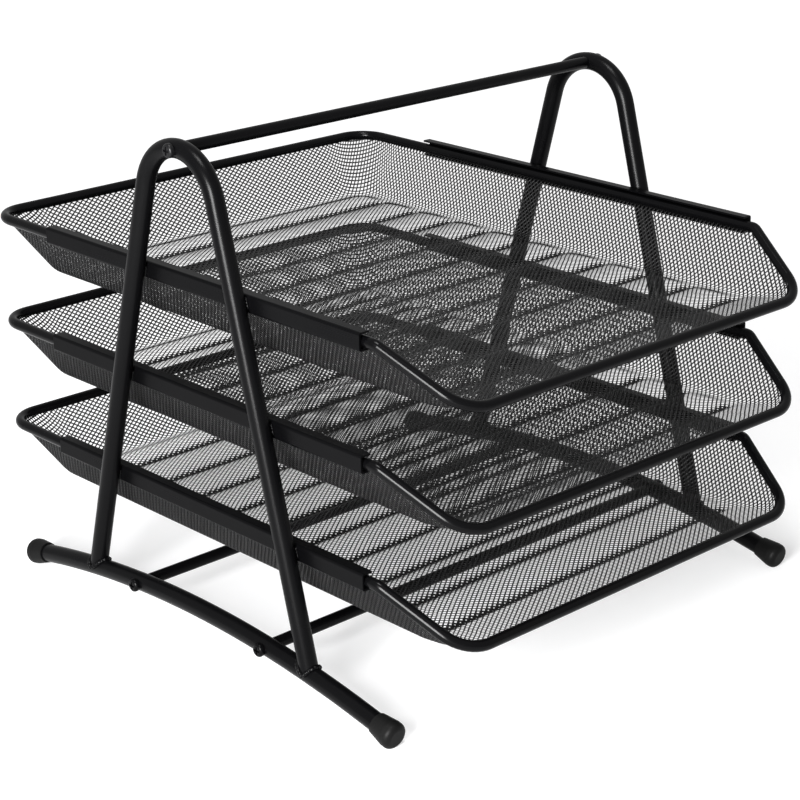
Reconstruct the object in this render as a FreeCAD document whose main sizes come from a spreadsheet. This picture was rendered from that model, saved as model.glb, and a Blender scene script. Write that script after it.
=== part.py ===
import FreeCAD, Part

import math
import os
import re

import Sketcher
from FreeCAD import Rotation, Vector

# Three-tier file tray: three mesh letter trays that slide in channel rails on a tube stand.
# Millimetres. X to the right, Y to the back, Z up. The origin is on the table under the middle
# of the trays. Distances along Y are given from the middle of the stand, a little before it.

# Driving sizes: name, size, what it is.
SIZES = [
    ("stand_width", 284.0, "between the centre planes of the two side arches"),
    ("tube_outer", 9.5, "outer diameter of the arch and foot bar tubes"),
    ("tube_wall", 1.0, "wall of those tubes"),
    ("arch_apex_height", 256.4, "centre line of the arch's top bend above the table"),
    ("arch_bend_radius", 27.0, "centre line radius of the top bend"),
    ("leg_spread", 170.0, "between the two feet of an arch, along Y"),
    ("foot_bar_chord", 281.0, "foot bar from end to end, in a straight line"),
    ("foot_bar_rise", 14.9, "how far the foot bar bows up in the middle"),
    ("weld_gap", 0.05, "between pieces that are welded or pushed together"),
    ("cap_outer", 13.6, "foot cap at its thick end"),
    ("cap_neck", 10.9, "foot cap at its thin end"),
    ("cap_sleeve", 8.5, "length of the cap on the bar"),
    ("cap_reach", 5.0, "length of the cap past the bar's end"),
    ("cap_round", 3.0, "rounding of the cap's thick end"),
    ("cap_bore_gap", 0.1, "around the bar inside the cap"),
    ("cap_flat", 0.3, "depth of the flat that the cap rests on"),
    ("rod_outer", 6.2, "diameter of the handle and the cross rods"),
    ("front_rod_distance", 54.0, "front cross rod before the middle"),
    ("rear_rod_distance", 46.0, "rear cross rod behind the middle"),
    ("screw_shank", 4.0, "outer diameter of the screw's thread"),
    ("screw_length", 20.0, "screw under its head"),
    ("screw_head", 7.0, "diameter of the pan head"),
    ("screw_head_height", 2.4, "height of the pan head"),
    ("screw_head_round", 1.4, "rounding of the pan head"),
    ("recess_length", 4.2, "arms of the cross recess, end to end"),
    ("recess_width", 1.1, "width of each arm"),
    ("recess_depth", 1.3, "depth of the recess"),
    ("bore_gap", 0.08, "around the screw in every hole"),
    ("bore_run_out", 2.0, "threaded hole past the screw's tip"),
    ("rail_length", 239.0, "channel rail along Y"),
    ("rail_centre", 1.5, "middle of the rail behind the middle of the stand"),
    ("rail_height", 9.0, "outer height of the channel"),
    ("rail_sheet", 1.0, "sheet that the channel is folded from"),
    ("rail_fold_radius", 1.4, "outer radius of the channel's two folds"),
    ("lower_flange_reach", 1.4, "lower flange past the rim's centre line"),
    ("upper_flange_reach", 1.8, "upper flange past the rim's centre line"),
    ("rim_wire", 5.5, "diameter of the tray's rim"),
    ("rim_side_gap", 0.4, "between the rim and the channel's web"),
    ("rim_seat_gap", 0.3, "between the rim and the lower flange"),
    ("tray_back", 176.2, "back rim behind the middle"),
    ("tray_front", 166.2, "front rim before the middle"),
    ("rim_knee", 123.9, "where the side rims bend down, before the middle"),
    ("front_drop", 24.3, "front rim below the side rims"),
    ("rim_back_radius", 16.5, "rim at the back corners"),
    ("rim_knee_radius", 5.5, "rim at the bend down"),
    ("rim_front_radius", 20.0, "rim at the front corners"),
    ("lowest_rim_height", 72.6, "rim of the bottom tray above the table"),
    ("tier_pitch", 58.0, "from one tray to the next"),
    ("tray_depth", 30.0, "floor below the rim's centre line"),
    ("floor_width", 229.4, "floor of the tray from wall to wall"),
    ("floor_corner_radius", 15.0, "floor at its back corners"),
    ("mesh_sheet", 0.6, "thickness of the mesh"),
    ("ramp_start", 135.0, "fold where the floor begins to rise, before the middle"),
    ("crease_pitch", 29.4, "between two creases of the floor"),
    ("crown", 1.2, "how far the floor rises between two creases"),
    ("net_pitch", 18.0, "between two gaps of the net, sideways"),
    ("net_open_share", 0.8, "share of its pitch that each gap takes"),
    ("wall_gap_height", 17.0, "height of the gaps in the walls"),
    ("wall_gap_centre", 15.5, "middle of those gaps below the rim"),
]

# Counts: bands of the floor between its creases, gaps of the net in each band, and gaps
# along a side wall.
BANDS = 10
NET_COLUMNS = 12
SIDE_WALL_GAPS = 15

TIERS = ["bottom", "middle", "top"]
SIDES = {"left": -1, "right": 1}
ENDS = {"front": -1, "rear": 1}

# Sizes that follow from the driving ones, as formulas of their names.
HALF_STAND = "(stand_width / 2)"
TRAY_MIDDLE = "((tray_back - tray_front) / 2)"
INNER_FACE = "(stand_width / 2 - tube_outer / 2 - weld_gap)"
HOLE_RADIUS = "(screw_shank / 2 + bore_gap)"

BAR_RADIUS = "(((foot_bar_chord / 2) ^ 2 + foot_bar_rise ^ 2) / (2 * foot_bar_rise))"
BAR_TILT = f"asin(foot_bar_chord / 2 / {BAR_RADIUS})"
BAR_END_HEIGHT = (
    f"((cap_reach - cap_round) * sin({BAR_TILT})"
    f" + (cap_outer / 2 - cap_round) * cos({BAR_TILT}) + cap_round - cap_flat)"
)
BAR_MID_HEIGHT = f"({BAR_END_HEIGHT} + foot_bar_rise)"
BAR_CENTRE_HEIGHT = f"({BAR_MID_HEIGHT} - {BAR_RADIUS})"

RIM_HALF_WIDTH = f"({INNER_FACE} - rail_sheet - rim_side_gap - rim_wire / 2)"
WALL_FLARE = f"(({RIM_HALF_WIDTH} - floor_width / 2) / tray_depth)"
FLOOR_BACK = f"(tray_back - {WALL_FLARE} * tray_depth)"
SLOPE = "(front_drop / (tray_front - rim_knee))"
RAMP = "((tray_depth - front_drop) / (tray_front - ramp_start))"
PAST_FRONT = "(tray_front + rim_wire)"
WALL_INSET = f"(mesh_sheet * sqrt(1 + {WALL_FLARE} ^ 2))"
FIRST_COLUMN = f"(-(2 * {NET_COLUMNS} - 1) * net_pitch / 4)"
FIRST_ROW = "(crease_pitch / 2 - ramp_start)"


def bar_height(distance):
    return f"({BAR_CENTRE_HEIGHT} + sqrt({BAR_RADIUS} ^ 2 - ({distance}) ^ 2))"


def rim_height(tier):
    return f"(lowest_rim_height + {tier} * tier_pitch)"


doc = FreeCAD.newDocument("file_tray")
sheet = doc.addObject("Spreadsheet::Sheet", "sizes")
for row, (name, size, meaning) in enumerate(SIZES, start=1):
    sheet.set(f"A{row}", name)
    sheet.set(f"B{row}", str(size))
    sheet.set(f"C{row}", meaning)
    sheet.setAlias(f"B{row}", name)
doc.recompute()

SIZE_NAMES = {name for name, size, meaning in SIZES}


def in_sheet(formula):
    """The formula with each size's name pointed at its cell."""
    return re.sub(
        r"[a-z_]+",
        lambda word: f"sizes.{word[0]}" if word[0] in SIZE_NAMES else word[0],
        str(formula),
    )


def value(formula):
    """The formula's number, for the first guess of a sketch and for free wires."""
    result = sheet.evalExpression(in_sheet(formula))
    return getattr(result, "Value", result)


def bind(thing, prop, formula):
    thing.setExpression(prop, in_sheet(formula))


# Sketches. Every corner and centre is pinned by formulas, so a sketch follows the sheet.
def origin_plane(body, role):
    return next(item for item in body.Origin.OriginFeatures if item.Role == role)


def new_body(label, x="0", y="0", z="0"):
    """A body at a place given from the middle of the stand."""
    body = doc.addObject("PartDesign::Body", label)
    body.Label = label
    bind(body, "Placement.Base.x", x)
    bind(body, "Placement.Base.y", f"{y} - {TRAY_MIDDLE}")
    bind(body, "Placement.Base.z", z)
    return body


def new_sketch(body, name, plane, height=None):
    sketch = body.newObject("Sketcher::SketchObject", f"{body.Label}_{name}")
    sketch.AttachmentSupport = [(origin_plane(body, f"{plane}_Plane"), "")]
    sketch.MapMode = "FlatFace"
    if height is not None:
        bind(sketch, "AttachmentOffset.Base.z", height)
    return sketch


def pin(sketch, edge, point, x, y):
    for kind, formula in (("DistanceX", x), ("DistanceY", y)):
        rule = Sketcher.Constraint(kind, -1, 1, edge, point, value(formula))
        bind(sketch, f"Constraints[{sketch.addConstraint(rule)}]", formula)


def set_radius(sketch, edge, formula):
    rule = Sketcher.Constraint("Radius", edge, value(formula))
    bind(sketch, f"Constraints[{sketch.addConstraint(rule)}]", formula)


def spot(x, y):
    return Vector(value(x), value(y), 0)


def draw_circle(sketch, x, y, radius):
    edge = sketch.addGeometry(Part.Circle(spot(x, y), Vector(0, 0, 1), value(radius)))
    pin(sketch, edge, 3, x, y)
    set_radius(sketch, edge, radius)


def draw_polygon(sketch, corners):
    edges = []
    for here, there in zip(corners, corners[1:] + corners[:1]):
        edges.append(sketch.addGeometry(Part.LineSegment(spot(*here), spot(*there))))
    for edge, follower in zip(edges, edges[1:] + edges[:1]):
        sketch.addConstraint(Sketcher.Constraint("Coincident", edge, 2, follower, 1))
    for edge, corner in zip(edges, corners):
        pin(sketch, edge, 1, *corner)


def draw_diamond(sketch, x, y, width, height):
    draw_polygon(sketch, [
        (f"{x} + {width} / 2", y),
        (x, f"{y} + {height} / 2"),
        (f"{x} - {width} / 2", y),
        (x, f"{y} - {height} / 2"),
    ])


def draw_rounded_box(sketch, half_width, back, front, back_radius, front_radius):
    """A rectangle about the Y axis, with its corners rounded, anticlockwise from the right."""
    corners = [
        (f"{half_width} - {back_radius}", f"{back} - {back_radius}", back_radius),
        (f"{back_radius} - {half_width}", f"{back} - {back_radius}", back_radius),
        (f"{front_radius} - {half_width}", f"{front_radius} - {front}", front_radius),
        (f"{half_width} - {front_radius}", f"{front_radius} - {front}", front_radius),
    ]
    arcs = []
    for quarter, (x, y, radius) in enumerate(corners):
        circle = Part.Circle(spot(x, y), Vector(0, 0, 1), value(radius))
        turn = math.pi / 2
        arcs.append(Part.ArcOfCircle(circle, quarter * turn, (quarter + 1) * turn))
    arc_edges = [sketch.addGeometry(arc) for arc in arcs]
    for number, edge in enumerate(arc_edges):
        after = (number + 1) % len(arcs)
        side = Part.LineSegment(arcs[number].EndPoint, arcs[after].StartPoint)
        line = sketch.addGeometry(side)
        sketch.addConstraint(Sketcher.Constraint("Tangent", edge, 2, line, 1))
        sketch.addConstraint(Sketcher.Constraint("Tangent", line, 2, arc_edges[after], 1))
        x, y, radius = corners[number]
        pin(sketch, edge, 3, x, y)
        set_radius(sketch, edge, radius)


# Features, each on the sketch it is given.
def revolve(body, sketch, axis):
    feature = body.newObject("PartDesign::Revolution", f"{body.Label}_turned")
    feature.Profile = sketch
    feature.ReferenceAxis = (sketch, [axis])
    feature.Angle = 360.0
    return feature


def cut_through(body, sketch):
    feature = body.newObject("PartDesign::Pocket", f"{sketch.Name}_cut")
    feature.Profile = sketch
    feature.Type = "ThroughAll"
    feature.SideType = "Symmetric"
    return feature


def pipe(body, kind, name, profile, spine, edges):
    feature = body.newObject(f"PartDesign::{kind}Pipe", f"{body.Label}_{name}")
    feature.Profile = profile
    feature.Spine = (spine, edges)
    return feature


def mirror_front(body, features):
    feature = body.newObject("PartDesign::Mirrored", f"{body.Label}_mirrored")
    feature.Originals = features
    feature.MirrorPlane = (origin_plane(body, "XZ_Plane"), [""])
    body.Tip = feature
    return feature


def draw_tube_section(body, height):
    section = new_sketch(body, "section", "XZ")
    draw_circle(section, "0", height, "tube_outer / 2")
    draw_circle(section, "0", height, "tube_outer / 2 - tube_wall")
    return section


def draw_bar_line(body, name, reach):
    """The foot bar's centre line, from its middle to a distance behind it."""
    line = new_sketch(body, name, "YZ")
    circle = Part.Circle(spot("0", BAR_CENTRE_HEIGHT), Vector(0, 0, 1), value(BAR_RADIUS))
    start = math.asin(value(reach) / value(BAR_RADIUS))
    arc = line.addGeometry(Part.ArcOfCircle(circle, math.pi / 2 - start, math.pi / 2))
    pin(line, arc, 3, "0", BAR_CENTRE_HEIGHT)
    set_radius(line, arc, BAR_RADIUS)
    for point, formula in ((1, reach), (2, "0")):
        rule = Sketcher.Constraint("DistanceX", -1, 1, arc, point, value(formula))
        bind(line, f"Constraints[{line.addConstraint(rule)}]", formula)
    return line


# Stand: side arches, foot bars and their caps.
def make_side_arch(side, sign):
    arch = new_body(f"{side}_side_arch", x=f"{sign} * {HALF_STAND}")
    bend_height = "(arch_apex_height - arch_bend_radius)"
    foot = "(leg_spread / 2)"

    line = new_sketch(arch, "line", "YZ")
    circle = Part.Circle(spot("0", bend_height), Vector(0, 0, 1), value("arch_bend_radius"))
    lean = math.atan(value("leg_spread / 2") / value("arch_apex_height"))
    bend = line.addGeometry(Part.ArcOfCircle(circle, lean / 2, math.pi / 2))
    top_of_leg = line.Geometry[bend].StartPoint
    leg = line.addGeometry(Part.LineSegment(top_of_leg, spot(foot, bar_height(foot))))
    line.addConstraint(Sketcher.Constraint("Tangent", bend, 1, leg, 1))
    pin(line, bend, 3, "0", bend_height)
    set_radius(line, bend, "arch_bend_radius")
    rule = Sketcher.Constraint("DistanceX", -1, 1, bend, 2, 0.0)
    line.addConstraint(rule)
    pin(line, leg, 2, foot, bar_height(foot))

    section = draw_tube_section(arch, "arch_apex_height")
    half = pipe(arch, "Additive", "half", section, line, ["Edge1", "Edge2"])

    # The leg's foot is cut to sit on the bar.
    bar_line = draw_bar_line(arch, "bar_line", f"{foot} + 3 * tube_outer")
    seat = new_sketch(arch, "seat", "XZ")
    draw_circle(seat, "0", BAR_MID_HEIGHT, "tube_outer / 2 + weld_gap")
    cope = pipe(arch, "Subtractive", "cope", seat, bar_line, ["Edge1"])
    mirror_front(arch, [half, cope])

    hole = new_sketch(arch, "screw_hole", "YZ")
    draw_circle(hole, "0", "arch_apex_height", HOLE_RADIUS)
    cut_through(arch, hole)
    return arch


def make_foot_bar(side, sign):
    bar = new_body(f"{side}_foot_bar", x=f"{sign} * {HALF_STAND}")
    line = draw_bar_line(bar, "line", "foot_bar_chord / 2")
    section = draw_tube_section(bar, BAR_MID_HEIGHT)
    half = pipe(bar, "Additive", "half", section, line, ["Edge1"])
    mirror_front(bar, [half])
    for name, distance in (("front", "-front_rod_distance"), ("rear", "rear_rod_distance")):
        hole = new_sketch(bar, f"{name}_hole", "YZ")
        draw_circle(hole, distance, bar_height(distance), HOLE_RADIUS)
        cut_through(bar, hole)
    return bar


def make_table():
    """The block under the table's surface, which the foot caps are cut flat on."""
    table = doc.addObject("Part::Box", "table")
    bind(table, "Length", "2 * stand_width")
    bind(table, "Width", "2 * foot_bar_chord")
    bind(table, "Height", "cap_outer")
    bind(table, "Placement.Base.x", "-stand_width")
    bind(table, "Placement.Base.y", "-foot_bar_chord")
    bind(table, "Placement.Base.z", "-cap_outer")
    return table


def make_foot_cap(side, sign, end, direction):
    """A flared sleeve, drawn along Y, turned onto the end of the bar and cut flat below."""
    cap = new_body(
        f"{side}_{end}_foot_cap_turned",
        x=f"{sign} * {HALF_STAND}",
        y=f"{direction} * foot_bar_chord / 2",
        z=BAR_END_HEIGHT,
    )
    half_turn = 0 if direction > 0 else 180
    cap.Placement.Rotation = Rotation(Vector(1, 0, 0), half_turn - direction)
    bind(cap, "Placement.Rotation.Angle", f"{half_turn} deg - {direction} * {BAR_TILT}")

    bore = "(tube_outer / 2 + cap_bore_gap)"
    profile = new_sketch(cap, "profile", "XY")
    draw_polygon(profile, [
        ("0", "weld_gap"),
        ("0", "cap_reach"),
        ("cap_outer / 2", "cap_reach"),
        ("cap_outer / 2", "0"),
        ("cap_neck / 2", "-cap_sleeve"),
        (bore, "-cap_sleeve"),
        (bore, "weld_gap"),
    ])
    sleeve = revolve(cap, profile, "V_Axis")
    doc.recompute()
    thick_end = find_edges(sleeve.Shape, lambda edge: (
        same(edge.BoundBox.YMin, value("cap_reach")) and edge.BoundBox.XLength > 1
    ))
    round_edges(cap, sleeve, thick_end, "cap_round")

    flat_cap = doc.addObject("Part::Cut", f"{side}_{end}_foot_cap")
    flat_cap.Label = f"{side}_{end}_foot_cap"
    flat_cap.Base = cap
    flat_cap.Tool = table
    return flat_cap


def same(a, b):
    return abs(a - b) < 0.001


def find_edges(shape, wanted):
    return [f"Edge{number}" for number, edge in enumerate(shape.Edges, start=1) if wanted(edge)]


def round_edges(body, feature, edges, radius):
    fillet = body.newObject("PartDesign::Fillet", f"{feature.Name}_rounded")
    fillet.Base = (feature, edges)
    bind(fillet, "Radius", radius)
    return fillet


# Rods with a threaded hole in each end, and the screws that hold them. Threads are left plain.
def make_rod(label, y, z):
    rod = new_body(label, y=y, z=z)
    hole_depth = "(screw_length - tube_outer - weld_gap + bore_run_out)"
    floor = f"({INNER_FACE} - {hole_depth})"
    profile = new_sketch(rod, "profile", "XY")
    draw_polygon(profile, [
        (f"-{floor}", "0"),
        (f"-{floor}", HOLE_RADIUS),
        (f"-{INNER_FACE}", HOLE_RADIUS),
        (f"-{INNER_FACE}", "rod_outer / 2"),
        (INNER_FACE, "rod_outer / 2"),
        (INNER_FACE, HOLE_RADIUS),
        (floor, HOLE_RADIUS),
        (floor, "0"),
    ])
    revolve(rod, profile, "H_Axis")
    return rod


def make_screw(label, sign, y, z):
    """A pan-head screw, drawn pointing inwards from the outer face of the tube."""
    screw = new_body(label, x=f"{sign} * ({HALF_STAND} + tube_outer / 2 + weld_gap)", y=y, z=z)
    if sign < 0:
        screw.Placement.Rotation = Rotation(Vector(0, 0, 1), 180)
    profile = new_sketch(screw, "profile", "XY")
    draw_polygon(profile, [
        ("-screw_length", "0"),
        ("-screw_length", "screw_shank / 2"),
        ("0", "screw_shank / 2"),
        ("0", "screw_head / 2"),
        ("screw_head_height", "screw_head / 2"),
        ("screw_head_height", "0"),
    ])
    turned = revolve(screw, profile, "H_Axis")
    doc.recompute()
    head_edge = find_edges(turned.Shape, lambda edge: (
        same(edge.BoundBox.XMin, value("screw_head_height")) and edge.BoundBox.YLength > 1
    ))
    round_edges(screw, turned, head_edge, "screw_head_round")

    recess = new_sketch(screw, "recess", "YZ", "screw_head_height")
    arm, half = "recess_length / 2", "recess_width / 2"
    quarter = [(arm, f"-{half}"), (arm, half), (half, half)]
    corners = []
    for _ in range(4):
        corners += quarter
        quarter = [(f"-({y})", x) for x, y in quarter]
    draw_polygon(recess, corners)
    pocket = screw.newObject("PartDesign::Pocket", f"{label}_recess_cut")
    pocket.Profile = recess
    bind(pocket, "Length", "recess_depth")
    return screw


def make_screw_pair(label, y, z):
    pair = doc.addObject("Part::Compound", label)
    pair.Label = label
    pair.Links = [make_screw(f"{label}_{side}", sign, y, z) for side, sign in SIDES.items()]
    return pair


# Rails: folded channels, open towards the tray, welded to the legs.
def make_rail(side, sign, tier):
    lower_face = "(rim_wire / 2 + rim_seat_gap + rail_sheet)"
    rail = new_body(
        f"{side}_{TIERS[tier]}_rail",
        y="rail_centre",
        z=f"{rim_height(tier)} - {lower_face}",
    )
    web = f"{sign} * {INNER_FACE}"
    web_inside = f"{sign} * ({INNER_FACE} - rail_sheet)"
    lower_tip = f"{sign} * ({RIM_HALF_WIDTH} - lower_flange_reach)"
    upper_tip = f"{sign} * ({RIM_HALF_WIDTH} - upper_flange_reach)"
    section = new_sketch(rail, "section", "XZ")
    draw_polygon(section, [
        (web, "0"),
        (web, "rail_height"),
        (upper_tip, "rail_height"),
        (upper_tip, "rail_height - rail_sheet"),
        (web_inside, "rail_height - rail_sheet"),
        (web_inside, "rail_sheet"),
        (lower_tip, "rail_sheet"),
        (lower_tip, "0"),
    ])
    channel = rail.newObject("PartDesign::Pad", f"{rail.Label}_channel")
    channel.Profile = section
    channel.SideType = "Symmetric"
    bind(channel, "Length", "rail_length")
    doc.recompute()
    folds = find_edges(channel.Shape, lambda edge: (
        edge.BoundBox.YLength > 1 and same(edge.CenterOfMass.x, value(web))
    ))
    round_edges(rail, channel, folds, "rail_fold_radius")
    return rail


# Trays: a rim of bent wire round a pan of mesh that hangs from it.
def rounded_loop(corners):
    """A closed wire through corners (point, radius), each corner an arc between straight runs."""
    runs = []
    for number, (point, radius) in enumerate(corners):
        to_last = (corners[number - 1][0] - point).normalize()
        to_next = (corners[(number + 1) % len(corners)][0] - point).normalize()
        half_angle = to_last.getAngle(to_next) / 2
        middle = (to_last + to_next).normalize()
        setback = radius / math.tan(half_angle)
        inset = radius / math.sin(half_angle) - radius
        runs.append((point + to_last * setback, point + middle * inset, point + to_next * setback))
    edges = []
    for number, (start, top, end) in enumerate(runs):
        edges.append(Part.Arc(start, top, end).toShape())
        edges.append(Part.makeLine(end, runs[(number + 1) % len(runs)][0]))
    return Part.Wire(edges)


def make_rim_line():
    half, back, knee = value(RIM_HALF_WIDTH), value("tray_back"), -value("rim_knee")
    front, drop = -value("tray_front"), value("front_drop")
    front_half = half - value(WALL_FLARE) * drop
    back_radius, knee_radius = value("rim_back_radius"), value("rim_knee_radius")
    front_radius = value("rim_front_radius")
    line = doc.addObject("Part::Feature", "rim_line")
    line.Shape = rounded_loop([
        (Vector(half, back, 0), back_radius),
        (Vector(-half, back, 0), back_radius),
        (Vector(-half, knee, 0), knee_radius),
        (Vector(-front_half, front, -drop), front_radius),
        (Vector(front_half, front, -drop), front_radius),
        (Vector(half, knee, 0), knee_radius),
    ])
    return line


def rim_line_edges():
    """All edges of the loop, from the one that crosses the middle of the right side."""
    edges = rim_line.Shape.Edges
    half = value(RIM_HALF_WIDTH)
    first = next(
        number for number, edge in enumerate(edges)
        if same(edge.BoundBox.XMin, half) and edge.BoundBox.YMin < 0 < edge.BoundBox.YMax
    )
    order = list(range(first, len(edges))) + list(range(first))
    return [f"Edge{number + 1}" for number in order]


def make_rim(tier):
    rim = new_body(f"{TIERS[tier]}_tray_rim", z=rim_height(tier))
    section = new_sketch(rim, "section", "XZ")
    draw_circle(section, RIM_HALF_WIDTH, "0", "rim_wire / 2")
    pipe(rim, "Additive", "wire", section, rim_line, rim_line_edges())
    return rim


def repeat(body, pocket, sketch, columns, rows=1):
    doc.recompute()
    pattern = body.newObject("PartDesign::LinearPattern", f"{pocket.Name}_repeated")
    pattern.Originals = [pocket]
    pattern.Direction = (sketch, ["H_Axis"])
    pattern.Occurrences = columns
    bind(pattern, "Length", f"{columns - 1} * net_pitch")
    if rows > 1:
        pattern.Direction2 = (sketch, ["V_Axis"])
        pattern.Occurrences2 = rows
        bind(pattern, "Length2", f"{rows - 1} * crease_pitch")
    body.Tip = pattern
    return pattern


def draw_block(body, inset, lift):
    """The tray as a block, flared at the sides and the back, over a creased floor and a ramp.

    inset is taken off all round and lift is put under the floor: none for the outer block,
    the sheet's thickness for the hollow.
    """
    floor = new_sketch(body, "floor", "XY", "-tray_depth")
    draw_rounded_box(floor, f"(floor_width / 2 - {inset})", f"({FLOOR_BACK} - {inset})",
                     f"(tray_front - {lift})", f"(floor_corner_radius - {inset})",
                     f"(rim_front_radius - {inset})")
    top = new_sketch(body, "top", "XY")
    draw_rounded_box(top, f"({RIM_HALF_WIDTH} - {inset})", f"(tray_back - {inset})",
                     f"(tray_front - {lift})", f"(rim_back_radius - {inset})",
                     f"(rim_front_radius - {inset})")
    block = body.newObject("PartDesign::AdditiveLoft", f"{body.Label}_block")
    block.Profile = floor
    block.Sections = [top]
    block.Ruled = True

    # Cut away below the ramp and below the bands, which are valleys at the creases.
    valley = f"({lift} - tray_depth)"
    below = "(-tray_depth - rim_wire)"
    corners = [(f"(-{PAST_FRONT})", below),
               (f"(-{PAST_FRONT})", f"{RAMP} * ({PAST_FRONT} - ramp_start) + {valley}")]
    for band in range(BANDS):
        corners.append((f"({band} * crease_pitch - ramp_start)", valley))
        corners.append((f"(({band} + 0.5) * crease_pitch - ramp_start)", f"({valley} + crown)"))
    last_crease = f"({BANDS} * crease_pitch - ramp_start)"
    corners += [(last_crease, valley), (last_crease, below)]
    under_floor = new_sketch(body, "under_floor", "YZ")
    draw_polygon(under_floor, corners)
    return cut_through(body, under_floor)


def make_mesh(tier):
    mesh = new_body(f"{TIERS[tier]}_tray_mesh", z=rim_height(tier))
    draw_block(mesh, "0", "0")
    hollow = doc.addObject("PartDesign::Body", f"{mesh.Label}_hollow")
    draw_block(hollow, WALL_INSET, "mesh_sheet")
    pan = mesh.newObject("PartDesign::Boolean", f"{mesh.Label}_pan")
    pan.Type = "Cut"
    pan.setObjects([hollow])

    # Above the slope of the side rims at the front.
    slope = new_sketch(mesh, "slope", "YZ")
    draw_polygon(slope, [
        ("-rim_knee", "0"),
        ("-rim_knee", "rim_wire"),
        (f"-{PAST_FRONT}", "rim_wire"),
        (f"-{PAST_FRONT}", f"{SLOPE} * (rim_knee - {PAST_FRONT})"),
    ])
    cut_through(mesh, slope)

    # The rim's wire lies in the edge of the mesh.
    seat = new_sketch(mesh, "rim_seat", "XZ")
    draw_circle(seat, RIM_HALF_WIDTH, "0", "rim_wire / 2 + weld_gap")
    pipe(mesh, "Subtractive", "rim_groove", seat, rim_line, rim_line_edges())

    # The net: gaps on the bands and on the creases between them, and a row in each wall.
    gap_width = "(net_pitch * net_open_share)"
    gap_length = "(crease_pitch * net_open_share)"
    band_gaps = new_sketch(mesh, "band_gaps", "XY")
    draw_diamond(band_gaps, FIRST_COLUMN, f"({FIRST_ROW} - crease_pitch)", gap_width, gap_length)
    repeat(mesh, cut_through(mesh, band_gaps), band_gaps, NET_COLUMNS, BANDS + 1)
    crease_gaps = new_sketch(mesh, "crease_gaps", "XY")
    draw_diamond(crease_gaps, f"({FIRST_COLUMN} + net_pitch / 2)", "(-ramp_start)",
                 gap_width, gap_length)
    repeat(mesh, cut_through(mesh, crease_gaps), crease_gaps, NET_COLUMNS, BANDS)
    side_gaps = new_sketch(mesh, "side_gaps", "YZ")
    draw_diamond(side_gaps, f"({FIRST_ROW} + net_pitch / 2)", "(-wall_gap_centre)",
                 gap_width, "wall_gap_height")
    repeat(mesh, cut_through(mesh, side_gaps), side_gaps, SIDE_WALL_GAPS)
    back_gaps = new_sketch(mesh, "back_gaps", "XZ")
    draw_diamond(back_gaps, f"(-{NET_COLUMNS - 1} * net_pitch / 2)", "(-wall_gap_centre)",
                 gap_width, "wall_gap_height")
    repeat(mesh, cut_through(mesh, back_gaps), back_gaps, NET_COLUMNS)
    return mesh


def copy_mesh(master, tier):
    mesh = new_body(f"{TIERS[tier]}_tray_mesh", z=rim_height(tier))
    mesh.BaseFeature = master.Tip
    return mesh


table = make_table()
parts = []
for side, sign in SIDES.items():
    parts.append(make_side_arch(side, sign))
    parts.append(make_foot_bar(side, sign))
    for end, direction in ENDS.items():
        parts.append(make_foot_cap(side, sign, end, direction))
    for tier in range(len(TIERS)):
        parts.append(make_rail(side, sign, tier))

for name, distance in (("front", "-front_rod_distance"), ("rear", "rear_rod_distance")):
    parts.append(make_rod(f"{name}_cross_rod", distance, bar_height(distance)))
    parts.append(make_screw_pair(f"{name}_cross_rod_screws", distance, bar_height(distance)))
parts.append(make_rod("handle_rod", "0", "arch_apex_height"))
parts.append(make_screw_pair("handle_screws", "0", "arch_apex_height"))

rim_line = make_rim_line()
for tier in range(len(TIERS)):
    parts.append(make_rim(tier))
first_mesh = make_mesh(0)
parts.append(first_mesh)
for tier in range(1, len(TIERS)):
    parts.append(copy_mesh(first_mesh, tier))
doc.recompute()

# Nothing is written unless every object is sound.
for item in doc.Objects:
    faults = {"Invalid", "Error"} & set(item.State)
    if faults:
        raise RuntimeError(f"{item.Label} is not sound: {faults}")
for part in parts:
    if part.Shape.isNull() or not part.Shape.isValid() or not part.Shape.Solids:
        raise RuntimeError(f"{part.Label} has no sound solid")

os.makedirs("parts", exist_ok=True)
for part in parts:
    part.Shape.exportStep(f"parts/{part.Label}.step")
    solids = len(part.Shape.Solids)
    print(f"{part.Label}: {solids} solid(s), {part.Shape.Volume:.1f} mm3")
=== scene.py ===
# %% [markdown]
# # A three-tier file tray in black steel
#
# The tray is a desk organiser: two tube arches on bowed foot bars carry three pans of expanded
# steel mesh, each hung in a rim of bent wire that slides in channel rails. The solid model
# already has the tubes, rods, rails, rims, caps and screws in their right shapes, so this
# lesson keeps those and gives them finishes. What it adds is what a solid model leaves out:
# the fine diamond mesh of the pans, with its pressed creases and rounded folds, and the weld
# beads. Blender works in metres here; sizes below are in millimetres and MM turns them.

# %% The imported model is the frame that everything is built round
import math

import bpy
import numpy as np
from mathutils import Matrix, Vector


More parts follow.
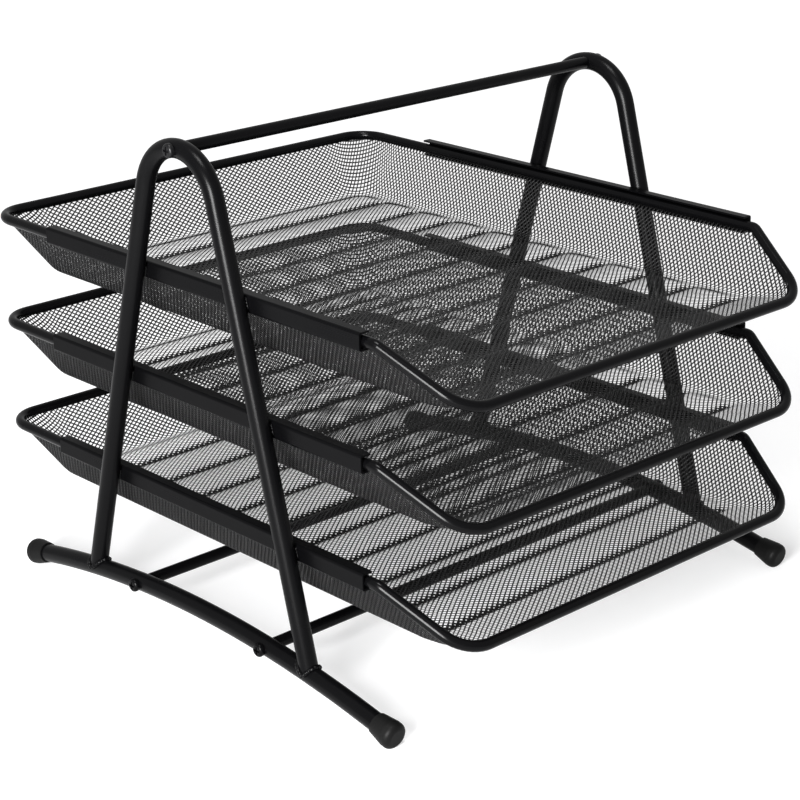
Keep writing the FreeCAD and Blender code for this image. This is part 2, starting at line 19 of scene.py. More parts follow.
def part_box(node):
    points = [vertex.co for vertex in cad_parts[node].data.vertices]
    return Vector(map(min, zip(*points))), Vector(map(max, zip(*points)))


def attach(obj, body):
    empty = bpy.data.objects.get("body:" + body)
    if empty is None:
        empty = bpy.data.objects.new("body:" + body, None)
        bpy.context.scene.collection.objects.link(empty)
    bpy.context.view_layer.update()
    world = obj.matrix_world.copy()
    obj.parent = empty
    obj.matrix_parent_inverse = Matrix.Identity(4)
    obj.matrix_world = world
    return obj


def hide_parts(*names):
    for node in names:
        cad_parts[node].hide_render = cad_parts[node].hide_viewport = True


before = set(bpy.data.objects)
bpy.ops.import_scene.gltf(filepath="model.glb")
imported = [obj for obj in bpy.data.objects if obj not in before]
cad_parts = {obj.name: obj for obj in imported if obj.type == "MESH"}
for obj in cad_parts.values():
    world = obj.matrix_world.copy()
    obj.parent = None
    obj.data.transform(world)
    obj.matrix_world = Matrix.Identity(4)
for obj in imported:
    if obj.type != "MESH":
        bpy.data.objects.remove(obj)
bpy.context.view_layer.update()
MM = 0.001
TIERS = ("bottom", "middle", "top")
SIDES = {"left": -1, "right": 1}

# %% [markdown]
# ## Camera
#
# A camera is a place, a direction and a lens. The photograph looks down at the front left
# corner of the object from a little over a metre away. The camera is set by the point that it
# looks at, the angle round the object, the height above the horizon and a small tilt, which is
# easier to read and to correct than a matrix of numbers.

# %% Camera
LOOK_AT = Vector((-11.508, -14.492, 100.972)) * MM
DISTANCE = 1127.35 * MM
AROUND, ABOVE, TILT = (math.radians(angle) for angle in (-43.060, 20.363, -0.458))
PICTURE_WIDTH = 800
FOCAL_PIXELS = 2152.93

backwards = Vector((
    math.sin(AROUND) * math.cos(ABOVE), -math.cos(AROUND) * math.cos(ABOVE), math.sin(ABOVE)
))
level = Vector((0, 0, 1)).cross(backwards).normalized()
upright = backwards.cross(level)
camera_x = math.cos(TILT) * level + math.sin(TILT) * upright
camera_y = math.cos(TILT) * upright - math.sin(TILT) * level

camera = bpy.data.objects.new("camera", bpy.data.cameras.new("camera"))
bpy.context.scene.collection.objects.link(camera)
camera.data.sensor_width = 36.0
camera.data.lens = camera.data.sensor_width * FOCAL_PIXELS / PICTURE_WIDTH
camera.matrix_world = Matrix.Translation(LOOK_AT + DISTANCE * backwards) @ (
    Matrix((camera_x, camera_y, backwards)).transposed().to_4x4()
)
bpy.context.scene.camera = camera
bpy.context.scene.view_settings.view_transform = "Standard"
print(f"lens {camera.data.lens:.2f} mm")

# %% [markdown]
# ## Writing shader maths
#
# A material is a graph of nodes. Sums such as 1 - mask are easier to read as sums, so a Socket
# wraps one output of a node and turns the operators into Math nodes. Every other node comes
# from Shader.add, which takes the node's type, its settings and what its sockets hold.

# %% Sockets and shaders
class Socket:
    """One output of a node. Arithmetic on it adds Math nodes."""

    def __init__(self, shader, output):
        self.shader, self.output = shader, output

    def maths(self, operation, first, second):
        return self.shader.add("ShaderNodeMath", {"operation": operation}, {0: first, 1: second})

    def __add__(self, other):
        return self.maths("ADD", self, other)

    def __sub__(self, other):
        return self.maths("SUBTRACT", self, other)

    def __rsub__(self, other):
        return self.maths("SUBTRACT", other, self)

    def __mul__(self, other):
        return self.maths("MULTIPLY", self, other)

    def __truediv__(self, other):
        return self.maths("DIVIDE", self, other)

    def at_most(self, other):
        return self.maths("MINIMUM", self, other)

    def at_least(self, other):
        return self.maths("MAXIMUM", self, other)

    __radd__ = __add__


class Shader:
    """The nodes of one material or of the world."""

    def __init__(self, owner):
        owner.use_nodes = True
        self.tree = owner.node_tree
        self.tree.nodes.clear()

    def add(self, kind, settings=(), sockets=(), out=0):
        """Adds a node, fills in its settings and then its sockets, and returns one output."""
        node = self.tree.nodes.new(kind)
        for name, setting in dict(settings).items():
            setattr(node, name, setting)
        for name, held in dict(sockets).items():
            if isinstance(held, Socket):
                self.tree.links.new(held.output, node.inputs[name])
            else:
                node.inputs[name].default_value = held
        return Socket(self, node.outputs[out]) if node.outputs else None

    def mix(self, share, dark, light):
        """A colour between two colours."""
        return self.add("ShaderNodeMix", {"data_type": "RGBA"}, {0: share, 6: dark, 7: light}, 2)

    def place(self):
        """Where a point is, in metres."""
        return self.add("ShaderNodeTexCoord", out="Object")

    def noise(self, scale, detail=2.0, where=None):
        """Smooth noise from 0 to 1, scale lumps to a metre."""
        return self.add("ShaderNodeTexNoise", {}, {
            "Vector": where or self.place(), "Scale": scale, "Detail": detail
        }, "Fac")


print("shader tools ready")

# %% [markdown]
# ## Studio
#
# The photograph has a white table and background, a soft light overhead and a tall soft light
# low at the left front: it is what draws the bright stripe on the two front legs and none on
# the back ones, since only legs that lean back reflect it. The floor and the world add white
# for the camera, and a share of it for reflections, as the black paint of the photograph
# mirrors surroundings that are darker than the background. As light on the object the world
# counts only as a dim grey and the floor's glow not at all, so the floor keeps a soft shadow.

# %% Floor and world
WHITE = (1.0, 1.0, 1.0, 1.0)
FLOOR_SIZE, FLOOR_CLOUDS = 12.0, 3.0
TABLE_DARK, TABLE_LIGHT = (0.53, 0.53, 0.54, 1), (0.57, 0.57, 0.57, 1)
TABLE_GLOW, FAR_GLOW = 0.52, 0.90
NEAR, FAR = 0.25, 1.90
MIRRORED = 0.40
AMBIENT = 0.30


def seen_directly(shader):
    """1 for rays from the camera or through clear things, MIRRORED off gloss, 0 for lighting."""
    ray = shader.tree.nodes.new("ShaderNodeLightPath")
    camera_ray, glossy, clear = (
        Socket(shader, ray.outputs[name])
        for name in ("Is Camera Ray", "Is Glossy Ray", "Is Transmission Ray")
    )
    return camera_ray.at_least(glossy * MIRRORED).at_least(clear)


def make_floor():
    """A flat square that takes shadows and glows for the camera, more so further out."""
    half = FLOOR_SIZE / 2
    mesh = bpy.data.meshes.new("floor")
    mesh.from_pydata(
        [(-half, -half, 0), (half, -half, 0), (half, half, 0), (-half, half, 0)],
        [], [(0, 1, 2, 3)],
    )
    floor = bpy.data.objects.new("floor", mesh)
    bpy.context.scene.collection.objects.link(floor)
    material = bpy.data.materials.new("white_table")
    shader = Shader(material)
    tone = shader.mix(shader.noise(FLOOR_CLOUDS), TABLE_DARK, TABLE_LIGHT)
    matt = shader.add("ShaderNodeBsdfDiffuse", {}, {"Color": tone})
    distance = shader.add("ShaderNodeVectorMath", {"operation": "LENGTH"}, {
        0: shader.place()
    }, "Value")
    outwards = ((distance - NEAR) / (FAR - NEAR)).at_least(0.0).at_most(1.0)
    glow = shader.add("ShaderNodeEmission", {}, {
        "Color": WHITE,
        "Strength": seen_directly(shader) * (TABLE_GLOW + outwards * (FAR_GLOW - TABLE_GLOW)),
    })
    both = shader.add("ShaderNodeAddShader", {}, {0: matt, 1: glow})
    shader.add("ShaderNodeOutputMaterial", {}, {"Surface": both})
    mesh.materials.append(material)


make_floor()
world = bpy.data.worlds.new("studio")
bpy.context.scene.world = world
shader = Shader(world)
direct = seen_directly(shader)
sky = shader.add("ShaderNodeBackground", {}, {
    "Color": WHITE, "Strength": direct + (1 - direct) * AMBIENT
})
shader.add("ShaderNodeOutputWorld", {}, {"Surface": sky})
print("floor and world ready")

# %% [markdown]
# A soft light is a glowing rectangle. Its size and distance decide how soft the shadows are,
# and the glossy paint shows it as a stripe whose width is that of the rectangle. Distances and
# sizes are in metres and the power is in watts.

# %% Soft lights
LAMPS_FACE = Vector((0, 0, 0.12))


def make_softbox(name, towards, distance, width, height, power):
    """A rectangular lamp that many metres from the object in a direction, facing it."""
    data = bpy.data.lights.new(name, "AREA")
    data.shape, data.size, data.size_y, data.energy = "RECTANGLE", width, height, power
    lamp = bpy.data.objects.new(name, data)
    bpy.context.scene.collection.objects.link(lamp)
    direction = Vector(towards).normalized()
    lamp.location = LAMPS_FACE + direction * distance
    lamp.rotation_mode = "QUATERNION"
    lamp.rotation_quaternion = direction.to_track_quat("Z", "Y")
    lamp.visible_camera = False


make_softbox("overhead", towards=(-0.25, -0.10, 1.0), distance=2.2,
             width=0.6, height=0.6, power=29.0)
make_softbox("left_front", towards=(-0.90, -0.42, 0.262), distance=1.31,
             width=0.42, height=0.60, power=52.0)

# %% [markdown]
# ## Powder coat
#
# All the steel is powder coated: a black polyester skin with a satin gloss and a fine
# orange-peel surface. Three noises make it: a broad one varies the black and the gloss a
# little, as dust and handling do, a fine one is the peel, felt only through the bump, and on
# the rails a third one, stretched along the slide, is the rubbing of the rims.

# %% Powder coat material
COAT_BLACK, COAT_WORN = (0.0008, 0.0008, 0.0010, 1), (0.0020, 0.0020, 0.0022, 1)
CLOUDS, GLOSS_RANGE = 22.0, 0.10
RUB_LUMPS, RUB_GLOSS = (1400.0, 9.0, 1400.0), 0.12
PEEL_STRENGTH = 0.5


def powder_coat(name, gloss, shine, peel_scale, peel_depth, rubbed=False):
    """Black paint of a roughness and a shine, with peel of so many lumps to a metre.

    The depth of the peel is in metres.
    """
    material = bpy.data.materials.new(name)
    shader = Shader(material)
    cloud = shader.noise(CLOUDS, 3.0)
    colour = shader.mix(cloud, COAT_BLACK, COAT_WORN)
    roughness = gloss - GLOSS_RANGE / 2 + cloud * GLOSS_RANGE
    if rubbed:
        along = shader.add("ShaderNodeMapping", {}, {
            "Vector": shader.place(), "Scale": RUB_LUMPS
        })
        roughness = roughness - shader.noise(1.0, 2.0, along) * RUB_GLOSS
    peel = shader.noise(peel_scale, 2.0)
    bump = shader.add("ShaderNodeBump", {}, {
        "Height": peel, "Strength": PEEL_STRENGTH, "Distance": peel_depth
    })
    surface = shader.add("ShaderNodeBsdfPrincipled", {}, {
        "Base Color": colour, "Roughness": roughness, "Specular IOR Level": shine, "Normal": bump
    })
    shader.add("ShaderNodeOutputMaterial", {}, {"Surface": surface})
    return material


tube_coat = powder_coat("tube_coat", 0.28, 0.08, 900.0, 0.00003)
rail_coat = powder_coat("rail_coat", 0.36, 0.05, 900.0, 0.00004, rubbed=True)
wire_coat = powder_coat("wire_coat", 0.20, 0.09, 1100.0, 0.00001)
net_coat = powder_coat("net_coat", 0.42, 0.40, 1500.0, 0.00002)
print("paints:", [m.name for m in bpy.data.materials])

# %% [markdown]
# The foot caps are moulded rubber, darker and duller than the paint, with a faint grain. The
# handle's screws are blackened steel: a little glossier, with turning marks round the head.
# Those of the cross rods show in the photograph only as dark as the foot bars they sit in, so
# they have the tubes' paint.

# %% Rubber and blackened steel
RUBBER_DARK, RUBBER_LIGHT = (0.002, 0.002, 0.002, 1), (0.005, 0.005, 0.005, 1)
STEEL_DARK, STEEL_LIGHT = (0.002, 0.002, 0.0022, 1), (0.006, 0.006, 0.0065, 1)
RUBBER_CLOUDS, RUBBER_GRAIN = 60.0, 2600.0
TURNING_MARKS = (300.0, 2200.0, 2200.0)


def moulded_rubber():
    """Nearly black and dull, with clouds in its colour and a grain in its roughness and bump."""
    material = bpy.data.materials.new("moulded_rubber")
    shader = Shader(material)
    colour = shader.mix(shader.noise(RUBBER_CLOUDS), RUBBER_DARK, RUBBER_LIGHT)
    grain = shader.noise(RUBBER_GRAIN, 1.0)
    bump = shader.add("ShaderNodeBump", {}, {
        "Height": grain, "Strength": 0.4, "Distance": 0.00003
    })
    surface = shader.add("ShaderNodeBsdfPrincipled", {}, {
        "Base Color": colour, "Roughness": 0.42 + grain * 0.12, "Specular IOR Level": 0.08,
        "Normal": bump,
    })
    shader.add("ShaderNodeOutputMaterial", {}, {"Surface": surface})
    return material


def blackened_steel():
    """Dark steel whose colour and roughness follow a noise that is drawn out along X."""
    material = bpy.data.materials.new("blackened_steel")
    shader = Shader(material)
    along = shader.add("ShaderNodeMapping", {}, {
        "Vector": shader.place(), "Scale": TURNING_MARKS
    })
    marks = shader.noise(1.0, 2.0, along)
    colour = shader.mix(marks, STEEL_DARK, STEEL_LIGHT)
    surface = shader.add("ShaderNodeBsdfPrincipled", {}, {
        "Base Color": colour, "Roughness": 0.26 + marks * 0.14, "Specular IOR Level": 0.18
    })
    shader.add("ShaderNodeOutputMaterial", {}, {"Surface": surface})
    return material


FINISHES = {
    "cap": moulded_rubber(), "handle_screws": blackened_steel(),
    "rail": rail_coat, "rim": wire_coat,
}


def finish_of(node):
    """The material for a solid that stays as it is, by a word in its name."""
    for word, material in FINISHES.items():
        if word in node:
            return material
    return tube_coat


for name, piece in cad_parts.items():
    piece.data.materials.clear()
    piece.data.materials.append(finish_of(name))
print("finished solids:", len(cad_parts))

# %% [markdown]
# ## The pan's surface
#
# Each pan is pressed from one flat sheet of mesh. A point of the flat sheet has two
# parameters, u across and v along, and pan_surface says where the press puts it: on the floor,
# which is creased and crowned, then round a fold, then up a flared wall as far as the rim. The
# back corners are rounded, so the sheet is gathered there: a quarter circle of the flat sheet
# is spread along the wall's round corner and the straight pieces beside it.

# %% Sizes of the pan
# The floor and the rim: half widths across X, and where they end along Y.
FLOOR_HALF, FLOOR_BACK, FRONT = 114.7, 152.85, -171.2
RIM_HALF, RIM_WIRE, DEPTH = 133.05, 5.5, 30.0
FLARE = (RIM_HALF - FLOOR_HALF) / DEPTH
# Round corners: the back one's radius grows by a share of the height.
CORNER, CORNER_GROWTH, FRONT_CORNER = 15.0, 0.05, 20.0
# The side rims bend down at the knee, and the floor begins to rise at the ramp's start.
KNEE, DROP = -128.9, 24.3
RAMP_START, RAMP_RISE = -140.0, 5.7
# The floor's bands and the grooves between them.
CREASE_PITCH, CROWN, GROOVE, GROOVE_WIDTH = 29.4, 1.5, 0.5, 1.5
MIDDLE_CREASE = RAMP_START + CREASE_PITCH * 5
SWELL_START, SWELL_FADE = 3.0, 9.0
# The fold from floor to wall: its radius, and the most that it may be of the wall's height.
FOLD, FOLD_OF_WALL = 7.0, 1.6
LOWEST_WALL = 0.05
# What stands in for zero where something is divided by it.
TINY = 1e-9

WALL_ANGLE = math.atan2(1.0, FLARE)
RIM_SLOPE = DROP / (KNEE - FRONT)
print(f"walls lean {90 - math.degrees(WALL_ANGLE):.1f} degrees, rim slopes {RIM_SLOPE:.2f}")

# %% [markdown]
# The floor has a crease every 29.4 mm, and between two creases it swells up by a millimetre and
# a half. That is what makes the bands in the photograph: the near half of each band faces the
# camera, so its gaps look open, and the far half turns away, so they close up.

# %% Floor, rim and fold as functions
def ramp_height(y):
    """Zero on the floor, then a straight rise from the first crease to the front."""
    return RAMP_RISE * np.clip((RAMP_START - y) / (RAMP_START - FRONT), 0, 1)


def band_height(y):
    """A parabola over each band, less a narrow groove at each crease."""
    share = np.mod((y - RAMP_START) / CREASE_PITCH, 1.0)
    crown = CROWN * 4 * share * (1 - share)
    from_crease = np.minimum(share, 1 - share) * CREASE_PITCH
    groove = GROOVE * np.exp(-(from_crease / GROOVE_WIDTH) ** 2)
    return np.where(y > RAMP_START, crown, 0) - groove * (y > RAMP_START - GROOVE_WIDTH)


def rim_height(y):
    """Height of the rim's centre line over the floor: level, then falling to the front."""
    return DEPTH - RIM_SLOPE * np.clip(KNEE - y, 0, None)


def rim_reach(y):
    """Half the distance between the side rims: less where they come down and round in front."""
    half = RIM_HALF - FLARE * RIM_SLOPE * np.clip(KNEE - y, 0, None)
    into_corner = np.clip(FRONT + FRONT_CORNER - y, 0, FRONT_CORNER)
    return half - FRONT_CORNER + np.sqrt(FRONT_CORNER ** 2 - into_corner ** 2)


def fold_profile(distance, radius):
    """How far out and up a point is, that far along the sheet past the middle of the fold.

    Flat, then an arc of the fold's radius through the wall's angle, then straight up the wall.
    """
    half_arc = radius * WALL_ANGLE / 2
    tangent = radius * np.tan(WALL_ANGLE / 2)
    turn = np.clip((distance + half_arc) / radius, 0, WALL_ANGLE)
    before = np.minimum(distance + half_arc, 0)
    after = np.maximum(distance - half_arc, 0)
    out = before - tangent + radius * np.sin(turn) + after * math.cos(WALL_ANGLE)
    up = radius * (1 - np.cos(turn)) + after * math.sin(WALL_ANGLE)
    return out, up


print(f"fold takes {FOLD * WALL_ANGLE:.1f} mm of sheet")

# %% [markdown]
# Now the pressing itself. Both functions work on whole arrays of points at once: pan_surface
# says where each point of the flat sheet goes, and rim_distance says which of them the rim
# cuts off.

# %% The pressed sheet as a function of two parameters
def pan_surface(u, v):
    """Where the press puts the point (u, v) of the flat sheet: x, y and height, in millimetres.

    The distance past the floor's outline goes through the fold's profile. Along the sides the
    outline is straight, and in the back corners it is an arc about the corner's centre.
    """
    side, across = np.sign(u), np.abs(u)
    corner_x, corner_y = FLOOR_HALF - CORNER, FLOOR_BACK - CORNER
    past_x, past_y = np.maximum(across - corner_x, 0), v - corner_y
    behind = past_y > 0

    # Sides: the floor's half width follows the rim in front, where the wall gets low.
    y = np.minimum(v, corner_y)
    wall = np.maximum(rim_height(y) - ramp_height(y), LOWEST_WALL)
    base = np.where(y < KNEE, rim_reach(y) - FLARE * wall, FLOOR_HALF)
    radius = np.minimum(FOLD, FOLD_OF_WALL * wall)
    out, side_z = fold_profile(across - base, radius)
    side_x = np.where(across < base - 3 * radius, across, base + out)

    # Back: one profile from the outline, turned through the corner's angle.
    turned = np.arctan2(np.maximum(past_y, 0), np.maximum(past_x, TINY))
    reach = np.hypot(past_x, np.maximum(past_y, 0))
    out, up = fold_profile(reach - CORNER, FOLD)
    grown = np.maximum(out - CORNER_GROWTH * up, 0)
    round_corner = CORNER + out - grown
    length = 2 * grown + round_corner * math.pi / 2
    along = length * turned / (math.pi / 2)
    arc = np.clip((along - grown) / np.maximum(round_corner, TINY), 0, math.pi / 2)
    back_x = (corner_x + grown + round_corner * np.cos(arc)
              - np.maximum(along - grown - round_corner * math.pi / 2, 0))
    back_y = corner_y + round_corner * np.sin(arc) + np.minimum(along, grown)
    straight = past_x <= 0
    back_x = np.where(straight, across, back_x)
    back_y = np.where(straight, corner_y + CORNER + out, back_y)

    # Both: the bands swell up inside the outline and fade out towards it.
    x, y = np.where(behind, back_x, side_x), np.where(behind, back_y, y)
    z = np.where(behind, up, side_z)
    inside = np.where(behind, CORNER - reach, base - across)
    fade = np.clip((inside - SWELL_START) / SWELL_FADE, 0, 1)
    z = z + ramp_height(y) + band_height(y) * fade * fade * (3 - 2 * fade)
    return np.stack((side * x, y, z), axis=-1)


def rim_distance(u, v):
    """How far a point of the flat sheet is past the rim, along the sheet; negative inside."""
    corner_x, corner_y = FLOOR_HALF - CORNER, FLOOR_BACK - CORNER
    y = np.minimum(v, corner_y)
    wall = np.maximum(rim_height(y) - ramp_height(y), LOWEST_WALL)
    base = np.where(y < KNEE, rim_reach(y) - FLARE * wall, FLOOR_HALF)
    sheet_up = wall / math.sin(WALL_ANGLE)
    beside = np.abs(u) - base - sheet_up
    reach = np.hypot(np.maximum(np.abs(u) - corner_x, 0), v - corner_y) - CORNER
    return np.maximum(np.where(v > corner_y, reach - sheet_up, beside), FRONT - v)


landed = pan_surface(np.array([0.0, 120.0, 0.0]), np.array([0.0, 0.0, 170.0]))
print("sheet points land at", landed.round(2).tolist())

# %% [markdown]
# ## Expanded mesh
#
# Expanded mesh is slit and stretched from one sheet, so its strands are one piece with the
# knuckles where they meet. It is modelled the same way. The knuckles stand at every second
# point of a grid that is wider across than along, and the gaps at the others, so the gaps are
# diamonds. Four strands run round each gap. A strand is thickest along its middle, so its
# section is a flat rhombus, which smooth shading rounds: four faces a strand. The strands are
# thicker on the walls than on the floor, which matches how dark each looks in the photograph.
# All the points come from whole-array sums, with no loop over vertices.

# %% Net of strands
HALF_ROW = CREASE_PITCH / 22
HALF_COLUMN = 1.4 * HALF_ROW
FLOOR_STRAND, WALL_STRAND = 0.30, 0.68
FLOOR_OPEN, WALL_OPEN = 0.66, 0.61
CREASED_OPEN, CREASE_WIDTH = 0.14, 2.5
SHEET_HALF_WIDTH, SHEET_HALF_LENGTH = 155.0, 199.0
UNDER_RIM, NORMAL_STEP = 0.9, 0.05
SIDE_STEPS = ((1, 0), (0, 1), (-1, 0), (0, -1))


def sheet_normals(u, v):
    """Unit normals of the pressed sheet, from the points a little to each side."""
    across = pan_surface(u + NORMAL_STEP, v) - pan_surface(u - NORMAL_STEP, v)
    along = pan_surface(u, v + NORMAL_STEP) - pan_surface(u, v - NORMAL_STEP)
    normal = np.cross(across, along)
    return normal / np.linalg.norm(normal, axis=-1, keepdims=True)


def from_floor_to_wall(u, v, on_the_floor, on_a_wall):
    """A size of the strands that changes over the fold, from the floor's to the walls'."""
    out = np.maximum(np.abs(u) - FLOOR_HALF, v - FLOOR_BACK)
    return on_the_floor + (on_a_wall - on_the_floor) * np.clip(out / FOLD + 0.5, 0, 1)


def open_share(u, v):
    """How far a gap reaches from its middle to the knuckles, as a share of the grid's step.

    It falls as a bell curve to nearly nothing at a crease, where the strands are pressed flat.
    """
    share = np.mod((v - RAMP_START) / CREASE_PITCH, 1.0)
    from_crease = np.minimum(share, 1 - share) * CREASE_PITCH
    pressed = np.exp(-(from_crease / CREASE_WIDTH) ** 2)
    pressed = pressed * np.clip((FLOOR_HALF - FOLD - np.abs(u)) / FOLD, 0, 1)
    pressed = pressed * (v > RAMP_START - CREASE_WIDTH) * (v < FLOOR_BACK - FOLD)
    free = from_floor_to_wall(u, v, FLOOR_OPEN, WALL_OPEN)
    return free * (1 - pressed) + CREASED_OPEN * pressed


def net_of_strands(wanted):
    """Points and faces of the net over the gaps that wanted picks, from the whole sheet.

    A gap at (i, j) has knuckles at (i + 1, j), (i, j + 1), (i - 1, j) and (i, j - 1). Its own
    four corners lie on the way to them, and a quad joins each two corners to their knuckles,
    above and below. A strand with a gap on one side only is closed down its middle.
    """
    columns = math.ceil(SHEET_HALF_WIDTH / HALF_COLUMN)
    rows = math.ceil(SHEET_HALF_LENGTH / HALF_ROW)
    i, j = np.meshgrid(
        np.arange(-columns, columns + 1), np.arange(-rows, rows + 1), indexing="ij"
    )
    u, v = i * HALF_COLUMN, MIDDLE_CREASE + j * HALF_ROW
    knuckle = (i + j) % 2 == 0
    inside = knuckle & (rim_distance(u, v) < UNDER_RIM)
    gap = ~knuckle
    for di, dj in SIDE_STEPS:
        gap &= np.roll(inside, (-di, -dj), (0, 1))
    gap &= wanted(u, v)

    used = np.zeros_like(gap)
    for di, dj in SIDE_STEPS:
        used |= np.roll(gap, (di, dj), (0, 1))
    number = np.cumsum(used.ravel()).reshape(used.shape) - 1
    count = int(used.sum())
    points = pan_surface(u[used], v[used])
    half_thick = from_floor_to_wall(u[used], v[used], FLOOR_STRAND, WALL_STRAND) / 2
    lift = sheet_normals(u[used], v[used]) * half_thick[:, None]
    blocks = [points + lift, points - lift]

    gi, gj = np.nonzero(gap)
    gu, gv = u[gi, gj], v[gi, gj]
    knuckles = [number[gi + di, gj + dj] for di, dj in SIDE_STEPS]
    reach = open_share(gu, gv)
    reach_u, reach_v = HALF_COLUMN * reach, HALF_ROW * reach
    for di, dj in SIDE_STEPS:
        blocks.append(pan_surface(gu + di * reach_u, gv + dj * reach_v))
    corners = [2 * count + side * len(gi) + np.arange(len(gi)) for side in range(4)]

    quads = []
    for side in range(4):
        after = (side + 1) % 4
        here, there = knuckles[side], knuckles[after]
        quads.append(np.stack((here, there, corners[after], corners[side]), 1))
        quads.append(np.stack((here + count, corners[side], corners[after], there + count), 1))
        step = np.add(SIDE_STEPS[side], SIDE_STEPS[after])
        alone = ~gap[gi + step[0], gj + step[1]]
        quads.append(np.stack((here, here + count, there + count, there), 1)[alone])
    return np.concatenate(blocks), np.concatenate(quads)


def make_piece(name, points, quads, material, body):
    """A piece from arrays of points in millimetres and of quads, riding on a body."""
    mesh = bpy.data.meshes.new(name)
    mesh.vertices.add(len(points))
    mesh.vertices.foreach_set("co", (points * MM).astype(np.float32).ravel())
    mesh.loops.add(quads.size)
    mesh.loops.foreach_set("vertex_index", quads.astype(np.int32).ravel())
    mesh.polygons.add(len(quads))
    mesh.polygons.foreach_set("loop_start", np.arange(0, quads.size, 4, dtype=np.int32))
    mesh.polygons.foreach_set("use_smooth", np.ones(len(quads), bool))
    mesh.update(calc_edges=True)
    mesh.validate()
    mesh.materials.append(material)
    piece = bpy.data.objects.new(name, mesh)
    bpy.context.scene.collection.objects.link(piece)
    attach(piece, body)
    return piece


print(f"a gap every {2 * HALF_COLUMN:.2f} mm across and every {2 * HALF_ROW:.2f} mm along")

# %% [markdown]
# A pan is three pieces of the same net: the front and the back half of its floor, split along
# a crease, and its walls, split from the floor just inside the fold. Each of them stays light
# enough to hand on as one mesh, and a strand on a split has half its width in each piece.

# %% Pans
def on_floor(u, v):
    """Whether a point of the flat sheet is on the floor, by half a fold's radius or more."""
    return (np.abs(u) < FLOOR_HALF - FOLD / 2) & (v < FLOOR_BACK - FOLD / 2)


nets = {
    "front_floor": net_of_strands(lambda u, v: on_floor(u, v) & (v < MIDDLE_CREASE)),
    "back_floor": net_of_strands(lambda u, v: on_floor(u, v) & (v >= MIDDLE_CREASE)),
    "wall": net_of_strands(lambda u, v: ~on_floor(u, v)),
}
for tier in TIERS:
    rim_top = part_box(f"{tier}_tray_rim")[1].z / MM
    raised = np.array((0, 0, rim_top - RIM_WIRE / 2 - DEPTH))
    for part, (points, quads) in nets.items():
        net = make_piece(
            f"{tier}_tray_{part}_net", points + raised, quads, net_coat,
            f"{tier}_tray"
        )
        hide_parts(f"{tier}_tray_mesh")
        print(net.name, "quads:", len(quads))

# %% [markdown]
# ## Weld beads
#
# The legs are welded to the foot bars all round, and the rails to the legs with one bead on
# each side. A bead is laid down in drops, so its surface is a tube with overlapping swellings.
# Like the net it is a profile carried along a path, here a circle. Round a leg's foot the path
# is the curve where two tubes of the same radius meet, and at a rail it is a short straight
# line in the groove between the leg and the rail's flat web.

# %% A bead carried along a path
DROP_LENGTH, DROP_SWELL = 1.7, 0.14
BEAD_SIDES = 10
LID = 0.02


def bead(path, outward, radius, closed):
    """Points and quads of a bead along a path, whose points have a direction away from the tube.

    A circle stands square to the path: its two directions are cross products of the path's own
    with the outward one. Its radius swells with the cosine of the distance along the path, once
    a drop, and at an open end it falls as on a ball, down to a last small ring with a flat lid.
    """
    count = len(path)
    ahead = np.roll(path, -1, 0) - np.roll(path, 1, 0)
    if not closed:
        ahead[0], ahead[-1] = path[1] - path[0], path[-1] - path[-2]
    ahead /= np.linalg.norm(ahead, axis=1, keepdims=True)
    steps = np.linalg.norm(np.roll(path, -1, 0) - path, axis=1)
    length = steps.sum() if closed else steps[:-1].sum()
    along = np.cumsum(steps) - steps
    drops = round(length / DROP_LENGTH)
    width = radius * (1 + DROP_SWELL * np.cos(2 * math.pi * drops * along / length))
    if not closed:
        from_end = np.clip(np.minimum(along, length - along) / radius, 0, 1)
        width = width * np.sqrt(np.clip(1 - (1 - from_end) ** 2, LID ** 2, 1))

    sideways = np.cross(ahead, outward)
    sideways /= np.linalg.norm(sideways, axis=1, keepdims=True)
    square = np.cross(ahead, sideways)
    turn = np.arange(BEAD_SIDES)[None, :, None] * 2 * math.pi / BEAD_SIDES
    circle = np.cos(turn) * sideways[:, None] + np.sin(turn) * square[:, None]
    points = (path[:, None] + circle * width[:, None, None]).reshape(-1, 3)

    ring, side = np.indices((count if closed else count - 1, BEAD_SIDES))
    after, beside = (ring + 1) % count, (side + 1) % BEAD_SIDES
    corners = ((ring, side), (ring, beside), (after, beside), (after, side))
    quads = np.stack([a * BEAD_SIDES + b for a, b in corners], -1).reshape(-1, 4)
    if not closed:
        row = np.arange(BEAD_SIDES // 2 - 1)
        lid = np.stack((row, row + 1, BEAD_SIDES - 2 - row, BEAD_SIDES - 1 - row), 1)
        quads = np.concatenate((quads, lid[:, ::-1], lid + (count - 1) * BEAD_SIDES))
    return points, quads


print(f"a bead has {BEAD_SIDES} sides and a drop every {DROP_LENGTH} mm")

# %% [markdown]
# The paths are worked out for one rear leg, with its foot behind the middle of the stand, and
# mirrored to the other legs. The leg's lean follows from its foot and the bend at the top,
# whose circle it touches.

# %% Where the beads run
# The arches and the foot: where the leg's centre line meets the foot bar's, which is an arc.
STAND_MIDDLE, ARCH_HALF, TUBE_RADIUS = -5.0, 142.0, 4.75
LEG_FOOT, FOOT_HEIGHT, BAR_BOW = 85.0, 16.32, 669.9
BEND_HEIGHT, BEND_RADIUS = 229.4, 27.0
# The beads' radii, and how far the foot's is off the tube and rounded at the sharp corners.
FOOT_BEAD, RAIL_BEAD = 1.1, 0.8
BEAD_OFF_TUBE, BEAD_ROUNDING = 0.35, 0.012
# The straight part of the rail's web, and where its grooves with the leg lie.
RAIL_FLAT, RAIL_GROOVE, GROOVE_DEPTH = 5.8, 2.7, 0.25

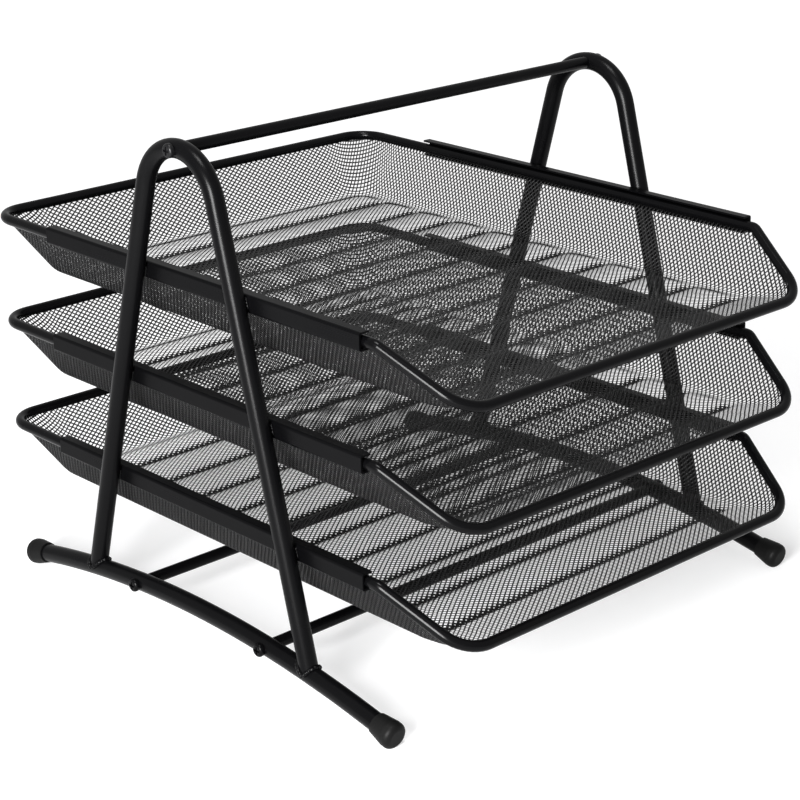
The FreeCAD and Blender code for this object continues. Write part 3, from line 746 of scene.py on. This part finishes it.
to_bend = BEND_HEIGHT - FOOT_HEIGHT
LEAN = math.atan2(LEG_FOOT, to_bend) - math.asin(BEND_RADIUS / math.hypot(LEG_FOOT, to_bend))
across_leg = np.array((1.0, 0.0, 0.0))
up_leg = np.array((0.0, -math.sin(LEAN), math.cos(LEAN)))
off_leg = np.array((0.0, math.cos(LEAN), math.sin(LEAN)))
off_bar = np.array((0.0, LEG_FOOT / BAR_BOW, math.sqrt(1 - (LEG_FOOT / BAR_BOW) ** 2)))
foot = np.array((0.0, LEG_FOOT, FOOT_HEIGHT))


def foot_run(steps=112):
    """Round the foot of a rear leg: the path and the directions away from the leg.

    A circle about the leg is slid up it until it is as far from the bar's line as from the
    leg's. The size of the sine is rounded off, where the curve would have two sharp corners.
    """
    turn = np.arange(steps)[:, None] * 2 * math.pi / steps
    outward = np.cos(turn) * across_leg + np.sin(turn) * off_leg
    clear = np.sqrt(np.sin(turn) ** 2 + BEAD_ROUNDING) - np.sin(turn) * (off_leg @ off_bar)
    radius = TUBE_RADIUS + BEAD_OFF_TUBE
    return foot + radius * (outward + clear / (up_leg @ off_bar) * up_leg), outward


def rail_run(height, beside, steps=15):
    """Up the groove on one side of a rear leg, along the flat of a rail's web at a height."""
    reach = (height - FOOT_HEIGHT + np.linspace(-0.5, 0.5, steps) * RAIL_FLAT) / up_leg[2]
    groove = (GROOVE_DEPTH - TUBE_RADIUS) * across_leg + beside * RAIL_GROOVE * off_leg
    return foot + groove + reach[:, None] * up_leg, np.tile(across_leg, (steps, 1))


print(f"the legs lean {math.degrees(LEAN):.1f} degrees")

# %% [markdown]
# Each side has two legs with one bead round the foot and two at every rail. They are joined
# to one piece a side.

# %% Beads of the two sides
for side_name, side in SIDES.items():
    beads = []
    for end in (-1, 1):
        runs = [(foot_run(), FOOT_BEAD, True)]
        for tier in TIERS:
            low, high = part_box(f"{side_name}_{tier}_rail")
            web_height = (low.z + high.z) / 2 / MM
            runs += [(rail_run(web_height, beside), RAIL_BEAD, False) for beside in (-1, 1)]
        for (path, outward), radius, closed in runs:
            mirrored = np.array((side, end, 1))
            path = path * mirrored + (side * ARCH_HALF, STAND_MIDDLE, 0)
            beads.append(bead(path, outward * mirrored, radius, closed))
    starts = np.cumsum([0] + [len(points) for points, quads in beads])
    points = np.concatenate([points for points, quads in beads])
    quads = np.concatenate([laid[1] + start for laid, start in zip(beads, starts)])
    welds = make_piece(
        f"{side_name}_side_welds", points, quads, tube_coat, "stand"
    )
    print(welds.name, "beads:", len(beads), "quads:", len(quads))
